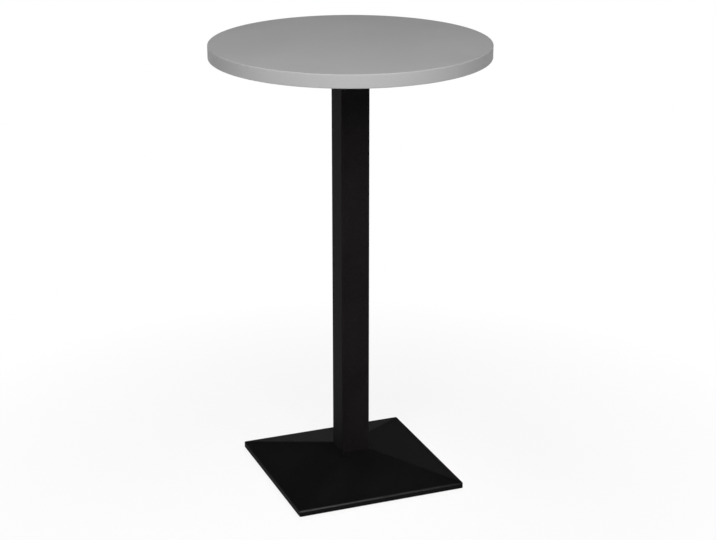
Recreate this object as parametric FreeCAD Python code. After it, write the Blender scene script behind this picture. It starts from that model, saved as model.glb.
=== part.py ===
"""A bar table: a round laminated top on a square steel column that stands on a cast pyramid base.

A tie rod inside the column draws the base, the column and the cast spider under the top together.
Four screw feet under the base level the table. Millimetres, +Z up, origin on the floor under the column.
"""

import FreeCAD, Part
import math
import os

V = FreeCAD.Vector
ORIGIN = V(0, 0, 0)
UP = V(0, 0, 1)
QUARTERS = (0, 90, 180, 270)
HEX_SIDES = 6
EDGE_ROUND_LIMIT_SHARE = 0.9

# Table as a whole
TABLE_HEIGHT = 1150.0
FLOOR_GAP = 4.0
CUT_OVERRUN = 5.0
THREAD_CLEARANCE = 0.1
LEVEL_TOLERANCE = 0.01

# Laminated top
TOP_DIAMETER = 700.0
CORE_THICKNESS = 32.0
LAMINATE_THICKNESS = 0.8
EDGE_BAND_THICKNESS = 3.0
EDGE_BAND_ROUND = 2.5
GLUE_LINE = 0.1

# Column tube
COLUMN_SIDE = 75.0
COLUMN_WALL = 2.0
COLUMN_CORNER_RADIUS = 5.0

# Base casting
BASE_SIDE = 450.0
BASE_CORNER_RADIUS = 4.0
BASE_RIM_HEIGHT = 15.0
BASE_RIM_ROUND = 3.0
BASE_RISE = 47.0
BASE_WALL = 8.0
SEAT_LEDGE = 2.0
CENTRE_BOSS_DIAMETER = 54.0
CENTRE_BOSS_ROOT_DIAMETER = 64.0
CENTRE_BOSS_LENGTH = 34.0
RIB_THICKNESS = 7.0
RIB_SETBACK = 3.0

# Spigots of the two castings, inside the ends of the column
SPIGOT_HEIGHT = 14.0
SPIGOT_CHAMFER = 2.0
SPIGOT_CLEARANCE = 0.4

# Tie rod and its nuts and washers
ROD_DIAMETER = 12.0
ROD_HOLE_CLEARANCE = 1.0
ROD_END_PROUD = 4.0
ROD_END_CHAMFER = 1.2
ROD_TOP_GAP = 1.5
NUT_ACROSS_FLATS = 19.0
NUT_HEIGHT = 10.0
WASHER_DIAMETER = 24.0
WASHER_THICKNESS = 2.5
WASHER_CLEARANCE = 0.5
BROAD_WASHER_DIAMETER = 37.0
BROAD_WASHER_THICKNESS = 3.0
SPRING_WASHER_DIAMETER = 21.0
SPRING_WASHER_THICKNESS = 2.5
SPRING_WASHER_SPLIT = 1.5

# Spider casting under the top
SPIDER_SPAN = 420.0
SPIDER_HUB_LEDGE = 5.0
SPIDER_HUB_FLOOR = 7.0
NUT_POCKET_DIAMETER = 36.0
ARM_ROOT_WIDTH = 50.0
ARM_TIP_WIDTH = 28.0
ARM_PLATE_THICKNESS = 7.0
ARM_WALL = 5.0
ARM_TIP_DEPTH = 10.0

# Countersunk screws that hold the top to the spider
SCREW_DIAMETER = 5.0
SCREW_LENGTH = 30.0
SCREW_HEAD_DIAMETER = 9.6
SCREW_HEAD_HEIGHT = 2.6
SCREW_POINT_LENGTH = 5.0
SCREW_POINT_DIAMETER = 0.8
SCREW_CLEARANCE = 0.15
OUTER_SCREW_INSET = 16.0
INNER_SCREW_RADIUS = 105.0

# Levelling feet
FOOT_INSET = 50.0
FOOT_STUD_DIAMETER = 8.0
FOOT_STUD_CHAMFER = 1.0
FOOT_ROOF_COVER = 3.0
FOOT_END_GAP = 1.0
FOOT_BOSS_DIAMETER = 22.0
FOOT_BOSS_ROOT_DIAMETER = 26.0
FOOT_POCKET_CLEARANCE = 3.0
FOOT_PLAY = 0.2
FOOT_PAD_DIAMETER = 34.0
FOOT_PAD_TOP_DIAMETER = 26.0
FOOT_PAD_HEIGHT = 6.5
FOOT_PAD_FLOOR = 2.0
FOOT_PAD_WALL = 2.5
FOOT_PAD_CHAMFER = 0.8
FOOT_HEAD_DIAMETER = 13.0
FOOT_HEAD_HEIGHT = 2.4
FOOT_HEX_ACROSS_FLATS = 13.0
FOOT_HEX_HEIGHT = 4.0

# Heights that the sizes give
Z_RIM_TOP = FLOOR_GAP + BASE_RIM_HEIGHT
Z_SEAT = Z_RIM_TOP + BASE_RISE
TOP_THICKNESS = CORE_THICKNESS + 2 * LAMINATE_THICKNESS
Z_TOP_UNDER = TABLE_HEIGHT - TOP_THICKNESS
NUT_POCKET_DEPTH = WASHER_THICKNESS + NUT_HEIGHT + ROD_END_PROUD + ROD_TOP_GAP
SPIDER_HUB_HEIGHT = NUT_POCKET_DEPTH + SPIDER_HUB_FLOOR
Z_COLUMN_TOP = Z_TOP_UNDER - SPIDER_HUB_HEIGHT
Z_POCKET_FLOOR = Z_TOP_UNDER - NUT_POCKET_DEPTH
Z_UPPER_NUT = Z_POCKET_FLOOR + WASHER_THICKNESS
Z_ROD_TOP = Z_UPPER_NUT + NUT_HEIGHT + ROD_END_PROUD
Z_BOSS = Z_SEAT - CENTRE_BOSS_LENGTH
Z_BROAD_WASHER = Z_BOSS - BROAD_WASHER_THICKNESS
Z_SPRING_WASHER = Z_BROAD_WASHER - SPRING_WASHER_THICKNESS
Z_LOWER_NUT = Z_SPRING_WASHER - NUT_HEIGHT
Z_ROD_BOTTOM = Z_LOWER_NUT - ROD_END_PROUD
Z_ARM_UNDER = Z_TOP_UNDER - ARM_PLATE_THICKNESS
Z_FOOT_HEX = FOOT_PAD_HEIGHT + FOOT_PLAY
Z_FOOT_SHANK = Z_FOOT_HEX + FOOT_HEX_HEIGHT
Z_FOOT_BOSS = Z_FOOT_SHANK + FOOT_PLAY

# Plan sizes that the sizes give
BASE_HALF = BASE_SIDE / 2
SEAT_HALF = COLUMN_SIDE / 2 + SEAT_LEDGE
ROOF_SLOPE = BASE_RISE / (BASE_HALF - SEAT_HALF)
ROOF_DROP = BASE_WALL * math.hypot(1, ROOF_SLOPE)
TUBE_INSIDE = COLUMN_SIDE - 2 * COLUMN_WALL
TUBE_INSIDE_RADIUS = max(COLUMN_CORNER_RADIUS - COLUMN_WALL, SPIGOT_CLEARANCE)
SPIGOT_SIDE = TUBE_INSIDE - 2 * SPIGOT_CLEARANCE
SPIGOT_RADIUS = TUBE_INSIDE_RADIUS
ROD_HOLE_RADIUS = ROD_DIAMETER / 2 + ROD_HOLE_CLEARANCE
BOARD_RADIUS = TOP_DIAMETER / 2 - EDGE_BAND_THICKNESS - GLUE_LINE
FOOT_OFFSET = BASE_HALF - FOOT_INSET
FOOT_PLACES = {
    "front_left": V(-FOOT_OFFSET, -FOOT_OFFSET, 0),
    "front_right": V(FOOT_OFFSET, -FOOT_OFFSET, 0),
    "back_right": V(FOOT_OFFSET, FOOT_OFFSET, 0),
    "back_left": V(-FOOT_OFFSET, FOOT_OFFSET, 0),
}


def roof_height(distance):
    """Height of the pyramid's outer face at a distance from the axis, square to the base's side."""
    return Z_RIM_TOP + (BASE_HALF - distance) * ROOF_SLOPE


def outline(start, *steps):
    """A closed wire. A step is a point to run straight to, or two points that an arc goes through."""
    edges = []
    here = start
    for step in steps:
        if isinstance(step, tuple):
            through, end = step
            edges.append(Part.Arc(here, through, end).toShape())
        else:
            end = step
            edges.append(Part.LineSegment(here, end).toShape())
        here = end
    edges.append(Part.LineSegment(here, start).toShape())
    return Part.Wire(edges)


def turned(start, *steps):
    """A solid turned about Z from an outline of (radius, height) points."""
    def point(pair):
        return V(pair[0], 0, pair[1])

    route = [tuple(point(p) for p in s) if isinstance(s[0], tuple) else point(s) for s in steps]
    return Part.Face(outline(point(start), *route)).revolve(ORIGIN, UP, 360)


def cylinder(diameter, low, high, centre=ORIGIN):
    """An upright cylinder between two heights."""
    return Part.makeCylinder(diameter / 2, high - low, centre + UP * low)


def ring(outer_diameter, inner_diameter, low, high):
    """An upright ring between two heights."""
    return cylinder(outer_diameter, low, high).cut(cylinder(inner_diameter, low, high))


def drafted_boss(diameter, root_diameter, low, high, centre=ORIGIN):
    """An upright boss that widens towards its root above, as a casting's pattern needs."""
    return Part.makeCone(diameter / 2, root_diameter / 2, high - low, centre + UP * low)


def rounded_square(side, radius, height):
    """A square wire with round corners, centred on the axis."""
    half = side / 2
    flat = half - radius
    bulge = flat + radius * math.cos(math.radians(45))
    edges = []
    for angle in QUARTERS:
        spin = FreeCAD.Rotation(UP, angle)
        side_start, side_end, bend, next_start = (
            spin.multVec(V(x, y, height))
            for x, y in ((half, -flat), (half, flat), (bulge, bulge), (flat, half))
        )
        edges.append(Part.LineSegment(side_start, side_end).toShape())
        edges.append(Part.Arc(side_end, bend, next_start).toShape())
    return Part.Wire(edges)


def square_block(side, radius, low, high):
    """A square prism with round upright corners."""
    return Part.Face(rounded_square(side, radius, low)).extrude(UP * (high - low))


def wall_between(low_edge, high_edge):
    """A flat face between two parallel straight edges, or a ruled one between two arcs."""
    if low_edge.Curve.TypeId == "Part::GeomLine":
        (a, b), (c, d) = ([v.Point for v in edge.Vertexes] for edge in (low_edge, high_edge))
        return Part.Face(outline(a, b, d, c))
    return Part.makeRuledSurface(low_edge, high_edge)


def square_taper(low_side, low_radius, low, high_side, high_radius, high):
    """A flat-sided frustum between two round-cornered squares."""
    foot, head = rounded_square(low_side, low_radius, low), rounded_square(high_side, high_radius, high)
    walls = [wall_between(a, b) for a, b in zip(foot.OrderedEdges, head.OrderedEdges)]
    skin = Part.makeCompound([*walls, Part.Face(foot), Part.Face(head)])
    skin.sewShape()
    return Part.makeSolid(skin.Shells[0])


def hexagon(across_flats, low, high):
    """An upright hexagonal prism."""
    corner = across_flats / 2 / math.cos(math.radians(30))
    turns = [math.radians(360 / HEX_SIDES * n) for n in range(HEX_SIDES)]
    points = [V(corner * math.cos(t), corner * math.sin(t), low) for t in turns]
    return Part.Face(outline(*points)).extrude(UP * (high - low))


def chamfered_hexagon(across_flats, low, high):
    """A hexagonal prism with the turned corners of a nut, at both ends."""
    corner = across_flats / 2 / math.cos(math.radians(30))
    flat = across_flats / 2
    chamfer = (corner - flat) * math.tan(math.radians(30))
    blank = turned(
        (0, low), (flat, low), (corner, low + chamfer), (corner, high - chamfer), (flat, high), (0, high)
    )
    return hexagon(across_flats, low, high).common(blank)


def spigot(seat, end):
    """A square boss that locates the column, from its seat to its chamfered end, up or down."""
    shoulder = end - math.copysign(SPIGOT_CHAMFER, end - seat)
    low, high = sorted((seat, shoulder))
    nose = square_taper(
        SPIGOT_SIDE, SPIGOT_RADIUS, shoulder, SPIGOT_SIDE - 2 * SPIGOT_CHAMFER, SPIGOT_RADIUS, end
    )
    return square_block(SPIGOT_SIDE, SPIGOT_RADIUS, low, high).fuse(nose)


def top_pieces():
    """The core board, its two laminates and the edge band round them."""
    board_top = TABLE_HEIGHT - LAMINATE_THICKNESS
    board_under = Z_TOP_UNDER + LAMINATE_THICKNESS
    diameter = 2 * BOARD_RADIUS
    holes = screw_group(SCREW_CLEARANCE)
    outer = TOP_DIAMETER / 2
    inner = outer - EDGE_BAND_THICKNESS
    arris = min(EDGE_BAND_ROUND, EDGE_BAND_THICKNESS * EDGE_ROUND_LIMIT_SHARE)
    swell = arris * math.cos(math.radians(45))
    band = turned(
        (inner, Z_TOP_UNDER),
        (outer - arris, Z_TOP_UNDER),
        ((outer - arris + swell, Z_TOP_UNDER + arris - swell), (outer, Z_TOP_UNDER + arris)),
        (outer, TABLE_HEIGHT - arris),
        ((outer - arris + swell, TABLE_HEIGHT - arris + swell), (outer - arris, TABLE_HEIGHT)),
        (inner, TABLE_HEIGHT),
    )
    return {
        "top_core": cylinder(diameter, board_under, board_top).cut(holes),
        "top_laminate": cylinder(diameter, board_top, TABLE_HEIGHT),
        "underside_laminate": cylinder(diameter, Z_TOP_UNDER, board_under).cut(holes),
        "edge_band": band,
    }


def screw(clearance):
    """One countersunk screw on the axis, head down, or the hole that it fits in."""
    head = SCREW_HEAD_DIAMETER / 2 + clearance
    shank = SCREW_DIAMETER / 2 + clearance
    tip = Z_ARM_UNDER + SCREW_LENGTH
    neck = Z_ARM_UNDER + SCREW_HEAD_HEIGHT
    return turned(
        (0, Z_ARM_UNDER),
        (head, Z_ARM_UNDER),
        (shank, neck),
        (shank, tip - SCREW_POINT_LENGTH),
        (SCREW_POINT_DIAMETER / 2 + clearance, tip + clearance),
        (0, tip + clearance),
    )


def screw_group(clearance):
    """All the top's screws, or their holes: two along each arm of the spider."""
    one = screw(clearance)
    radii = (INNER_SCREW_RADIUS, SPIDER_SPAN / 2 - OUTER_SCREW_INSET)
    placed = []
    for angle in QUARTERS:
        spin = FreeCAD.Rotation(UP, angle)
        for radius in radii:
            copy = one.copy()
            copy.translate(spin.multVec(V(radius, 0, 0)))
            placed.append(copy)
    return Part.makeCompound(placed)


def arm_outline(root_width, tip_width, reach, height):
    """Plan of a spider arm along +X: it tapers from the axis to a round tip."""
    root, tip = root_width / 2, tip_width / 2
    return outline(
        V(0, -root, height),
        V(reach - tip, -tip, height),
        (V(reach, 0, height), V(reach - tip, tip, height)),
        V(0, root, height),
    )


def spider_arm():
    """One arm along +X: a channel, open below, whose walls get lower towards the tip."""
    reach = SPIDER_SPAN / 2
    hub_edge = COLUMN_SIDE / 2 + SPIDER_HUB_LEDGE
    depth = Z_TOP_UNDER - Z_COLUMN_TOP
    plan = arm_outline(ARM_ROOT_WIDTH, ARM_TIP_WIDTH, reach, Z_COLUMN_TOP)
    solid = Part.Face(plan).extrude(UP * depth)
    side = outline(
        V(0, -ARM_ROOT_WIDTH, Z_COLUMN_TOP),
        V(hub_edge, -ARM_ROOT_WIDTH, Z_COLUMN_TOP),
        V(reach, -ARM_ROOT_WIDTH, Z_TOP_UNDER - ARM_TIP_DEPTH),
        V(reach, -ARM_ROOT_WIDTH, Z_TOP_UNDER),
        V(0, -ARM_ROOT_WIDTH, Z_TOP_UNDER),
    )
    tapered = solid.common(Part.Face(side).extrude(V(0, 2 * ARM_ROOT_WIDTH, 0)))
    inside = arm_outline(
        ARM_ROOT_WIDTH - 2 * ARM_WALL,
        ARM_TIP_WIDTH - 2 * ARM_WALL,
        reach - ARM_WALL,
        Z_COLUMN_TOP - CUT_OVERRUN,
    )
    channel = Part.Face(inside).extrude(UP * (Z_ARM_UNDER - Z_COLUMN_TOP + CUT_OVERRUN))
    return tapered.cut(channel)


def spider():
    """The four-armed casting between the column and the top, with the upper nut's pocket in its hub."""
    hub_side = COLUMN_SIDE + 2 * SPIDER_HUB_LEDGE
    hub = square_block(hub_side, COLUMN_CORNER_RADIUS + SPIDER_HUB_LEDGE, Z_COLUMN_TOP, Z_TOP_UNDER)
    arm = spider_arm()
    arms = []
    for angle in QUARTERS:
        turned_arm = arm.copy()
        turned_arm.rotate(ORIGIN, UP, angle)
        arms.append(turned_arm)
    casting = hub.multiFuse([*arms, spigot(Z_COLUMN_TOP, Z_COLUMN_TOP - SPIGOT_HEIGHT)])
    pocket = cylinder(NUT_POCKET_DIAMETER, Z_POCKET_FLOOR, Z_TOP_UNDER + CUT_OVERRUN)
    bore = cylinder(2 * ROD_HOLE_RADIUS, Z_COLUMN_TOP - SPIGOT_HEIGHT - CUT_OVERRUN, Z_TOP_UNDER)
    return casting.cut(pocket).cut(bore).cut(screw_group(SCREW_CLEARANCE)).removeSplitter()


def column_tube():
    """The square tube between the base's seat and the spider's hub."""
    outside = square_block(COLUMN_SIDE, COLUMN_CORNER_RADIUS, Z_SEAT, Z_COLUMN_TOP)
    inside = square_block(
        TUBE_INSIDE, TUBE_INSIDE_RADIUS, Z_SEAT - CUT_OVERRUN, Z_COLUMN_TOP + CUT_OVERRUN
    )
    return outside.cut(inside)


def base_outside():
    """The rim and the flat-sided pyramid as one solid, with the rim's upper edge rounded."""
    seat_side = 2 * SEAT_HALF
    rim = square_block(BASE_SIDE, BASE_CORNER_RADIUS, FLOOR_GAP, Z_RIM_TOP)
    pyramid = square_taper(
        BASE_SIDE, BASE_CORNER_RADIUS, Z_RIM_TOP, seat_side, COLUMN_CORNER_RADIUS + SEAT_LEDGE, Z_SEAT
    )
    body = rim.fuse(pyramid)
    at_rim = [
        edge
        for edge in body.Edges
        if all(abs(vertex.Z - Z_RIM_TOP) < LEVEL_TOLERANCE for vertex in edge.Vertexes)
    ]
    return body.makeFillet(BASE_RIM_ROUND, at_rim)


def base_hollow():
    """The space under the casting, less the boss, the ribs and the foot bosses that stand in it."""
    inside_half = BASE_HALF - BASE_WALL
    inside_radius = BASE_CORNER_RADIUS
    roof_low = roof_height(inside_half) - ROOF_DROP
    roof_high = roof_height(SEAT_HALF) - ROOF_DROP
    cavity = square_block(2 * inside_half, inside_radius, FLOOR_GAP - CUT_OVERRUN, roof_low).fuse(
        square_taper(2 * inside_half, inside_radius, roof_low, 2 * SEAT_HALF, inside_radius, roof_high)
    )
    rib_low = FLOOR_GAP + RIB_SETBACK
    rib = Part.makeBox(
        2 * BASE_SIDE, RIB_THICKNESS, Z_SEAT - rib_low, V(-BASE_SIDE, -RIB_THICKNESS / 2, rib_low)
    )
    ribs = []
    for angle in (45, 135):
        diagonal = rib.copy()
        diagonal.rotate(ORIGIN, UP, angle)
        ribs.append(diagonal)
    pocket_diameter = FOOT_PAD_DIAMETER + 2 * FOOT_POCKET_CLEARANCE
    pockets = [cylinder(pocket_diameter, 0, Z_FOOT_BOSS, place) for place in FOOT_PLACES.values()]
    pockets.append(cylinder(CENTRE_BOSS_DIAMETER, 0, Z_BOSS))
    bosses = [
        drafted_boss(FOOT_BOSS_DIAMETER, FOOT_BOSS_ROOT_DIAMETER, Z_FOOT_BOSS, Z_SEAT, place)
        for place in FOOT_PLACES.values()
    ]
    bosses.append(drafted_boss(CENTRE_BOSS_DIAMETER, CENTRE_BOSS_ROOT_DIAMETER, Z_BOSS, Z_SEAT))
    standing = ribs[0].fuse(ribs[1]).cut(Part.makeCompound(pockets)).multiFuse(bosses)
    return cavity.cut(standing)


def foot_hole_top():
    """Height of the blind end of a foot's hole, under the casting's outer face."""
    return roof_height(FOOT_OFFSET + FOOT_STUD_DIAMETER / 2) - FOOT_ROOF_COVER


def base_casting():
    """The hollow pyramid with its spigot, the tie rod's hole and the blind holes for the feet."""
    casting = base_outside().cut(base_hollow()).fuse(spigot(Z_SEAT, Z_SEAT + SPIGOT_HEIGHT))
    rod_hole = cylinder(2 * ROD_HOLE_RADIUS, Z_BOSS - CUT_OVERRUN, Z_SEAT + SPIGOT_HEIGHT + CUT_OVERRUN)
    foot_hole_diameter = FOOT_STUD_DIAMETER + 2 * THREAD_CLEARANCE
    holes = [
        cylinder(foot_hole_diameter, Z_FOOT_BOSS - CUT_OVERRUN, foot_hole_top(), place)
        for place in FOOT_PLACES.values()
    ]
    return casting.cut(Part.makeCompound([rod_hole, *holes])).removeSplitter()


def tie_rod():
    """The rod from under the lower nut to over the upper one, with chamfered ends."""
    radius = ROD_DIAMETER / 2
    end_radius = radius - ROD_END_CHAMFER
    return turned(
        (0, Z_ROD_BOTTOM),
        (end_radius, Z_ROD_BOTTOM),
        (radius, Z_ROD_BOTTOM + ROD_END_CHAMFER),
        (radius, Z_ROD_TOP - ROD_END_CHAMFER),
        (end_radius, Z_ROD_TOP),
        (0, Z_ROD_TOP),
    )


def nut(low):
    """A hexagon nut on the tie rod."""
    bore = cylinder(ROD_DIAMETER + 2 * THREAD_CLEARANCE, low, low + NUT_HEIGHT)
    return chamfered_hexagon(NUT_ACROSS_FLATS, low, low + NUT_HEIGHT).cut(bore)


def washer(diameter, low, thickness):
    """A flat washer on the tie rod."""
    return ring(diameter, ROD_DIAMETER + 2 * WASHER_CLEARANCE, low, low + thickness)


def spring_washer():
    """The split ring between the lower nut and the broad washer."""
    whole = washer(SPRING_WASHER_DIAMETER, Z_SPRING_WASHER, SPRING_WASHER_THICKNESS)
    split = Part.makeBox(
        SPRING_WASHER_DIAMETER,
        SPRING_WASHER_SPLIT,
        SPRING_WASHER_THICKNESS,
        V(0, -SPRING_WASHER_SPLIT / 2, Z_SPRING_WASHER),
    )
    return whole.cut(split)


def foot_stud():
    """The screw of a foot on the axis: a button head, a neck, a hexagon to turn it by and a shank."""
    head, neck = FOOT_HEAD_DIAMETER / 2, FOOT_STUD_DIAMETER / 2
    head_low = FOOT_PAD_FLOOR + FOOT_PLAY
    head_high = head_low + FOOT_HEAD_HEIGHT
    shank_top = foot_hole_top() - FOOT_END_GAP
    spindle = turned(
        (0, head_low),
        (head, head_low),
        (head, head_high),
        (neck, head_high),
        (neck, shank_top - FOOT_STUD_CHAMFER),
        (neck - FOOT_STUD_CHAMFER, shank_top),
        (0, shank_top),
    )
    return spindle.fuse(chamfered_hexagon(FOOT_HEX_ACROSS_FLATS, Z_FOOT_HEX, Z_FOOT_SHANK))


def foot_pad():
    """The plastic pad of a foot on the axis, with the socket that the stud's head is snapped into."""
    foot, shoulder = FOOT_PAD_DIAMETER / 2, FOOT_PAD_TOP_DIAMETER / 2
    neck = FOOT_STUD_DIAMETER / 2 + FOOT_PLAY
    head = FOOT_HEAD_DIAMETER / 2 + FOOT_PLAY
    lip_low = FOOT_PAD_FLOOR + FOOT_HEAD_HEIGHT + 2 * FOOT_PLAY
    return turned(
        (0, 0),
        (foot - FOOT_PAD_CHAMFER, 0),
        (foot, FOOT_PAD_CHAMFER),
        (foot, FOOT_PAD_WALL),
        (shoulder, FOOT_PAD_HEIGHT),
        (neck, FOOT_PAD_HEIGHT),
        (neck, lip_low),
        (head, lip_low),
        (head, FOOT_PAD_FLOOR),
        (0, FOOT_PAD_FLOOR),
    )


def feet():
    """The four feet: a pad and a stud under each corner of the base."""
    pieces = {}
    for corner, place in FOOT_PLACES.items():
        for kind, model in (("pad", foot_pad()), ("stud", foot_stud())):
            model.translate(place)
            pieces[f"foot_{kind}_{corner}"] = model
    return pieces


def main():
    """Builds every piece and writes one STEP file for each."""
    pieces = {
        **top_pieces(),
        "top_screws": screw_group(0),
        "spider": spider(),
        "column_tube": column_tube(),
        "base_casting": base_casting(),
        "tie_rod": tie_rod(),
        "upper_nut": nut(Z_UPPER_NUT),
        "upper_washer": washer(WASHER_DIAMETER, Z_POCKET_FLOOR, WASHER_THICKNESS),
        "lower_nut": nut(Z_LOWER_NUT),
        "spring_washer": spring_washer(),
        "broad_washer": washer(BROAD_WASHER_DIAMETER, Z_BROAD_WASHER, BROAD_WASHER_THICKNESS),
        **feet(),
    }
    os.makedirs("parts", exist_ok=True)
    for name, shape in pieces.items():
        shape.exportStep(f"parts/{name}.step")
        state = "valid" if shape.isValid() else "BAD"
        print(name, len(shape.Solids), "solids", round(shape.Volume), "mm3", state)


main()
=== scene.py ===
"""Bar table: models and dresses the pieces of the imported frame, and sets the studio and the camera."""

import logging
import math
from contextlib import contextmanager
from dataclasses import dataclass
from enum import Enum
from functools import cache
from typing import Any, Callable, ClassVar, Iterator, Optional, Sequence

import bpy
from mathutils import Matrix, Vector


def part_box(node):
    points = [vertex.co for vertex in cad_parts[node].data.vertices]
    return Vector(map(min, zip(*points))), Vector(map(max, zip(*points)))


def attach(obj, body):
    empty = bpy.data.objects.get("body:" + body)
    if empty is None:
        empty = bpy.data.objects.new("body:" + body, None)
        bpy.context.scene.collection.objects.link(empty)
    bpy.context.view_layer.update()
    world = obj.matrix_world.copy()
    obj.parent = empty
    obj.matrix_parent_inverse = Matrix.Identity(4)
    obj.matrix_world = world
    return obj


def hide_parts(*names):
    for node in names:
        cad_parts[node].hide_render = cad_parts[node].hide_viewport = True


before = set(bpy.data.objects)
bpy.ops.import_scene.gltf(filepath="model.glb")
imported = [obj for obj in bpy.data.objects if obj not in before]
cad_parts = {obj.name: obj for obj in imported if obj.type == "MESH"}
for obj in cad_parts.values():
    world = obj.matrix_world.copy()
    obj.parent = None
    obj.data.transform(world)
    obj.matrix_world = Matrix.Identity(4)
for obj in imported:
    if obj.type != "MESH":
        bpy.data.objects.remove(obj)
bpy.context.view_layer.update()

Colour = tuple[float, float, float]
Point = tuple[float, float]
Socket = bpy.types.NodeSocket

LOG = logging.getLogger("bar_table")
MM = 0.001
# How near points are that merge, that a cut takes as its own, and that lie at one level
MERGE_GAP = 0.002 * MM
CUT_GAP = 0.0001 * MM
LEVEL_GAP = 0.1 * MM
# How much of a level face's normal points up or down, at least
LEVEL_SHARE = 0.99
# The turn between two faces that lie flat, are shaded as one, or meet in a sharp edge
FLAT_ANGLE = math.radians(0.2)
SMOOTH_ANGLE = math.radians(32.0)
SHARP_ANGLE = math.radians(25.0)
RIGHT_ANGLE = 90.0
FACE_WEIGHT = 100
BREAK_STEPS = 2
WHITE = (1.0, 1.0, 1.0)


class Turn(Enum):
    """How many flat steps a turned piece has, by its size."""

    SMALL = 32
    MIDDLE = 48
    LARGE = 224


class Pick(Enum):
    """What is selected in edit mode."""

    POINTS = "VERT"
    EDGES = "EDGE"
    FACES = "FACE"


class Join(Enum):
    """What is left of two solids: both, the first without the second, or what they share."""

    BOTH = "UNION"
    CUT = "DIFFERENCE"
    SHARED = "INTERSECT"


def put_down() -> None:
    """Goes back to object mode with nothing selected."""
    if bpy.context.object and bpy.context.object.mode != "OBJECT":
        bpy.ops.object.mode_set(mode="OBJECT")
    bpy.ops.object.select_all(action="DESELECT")


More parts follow.
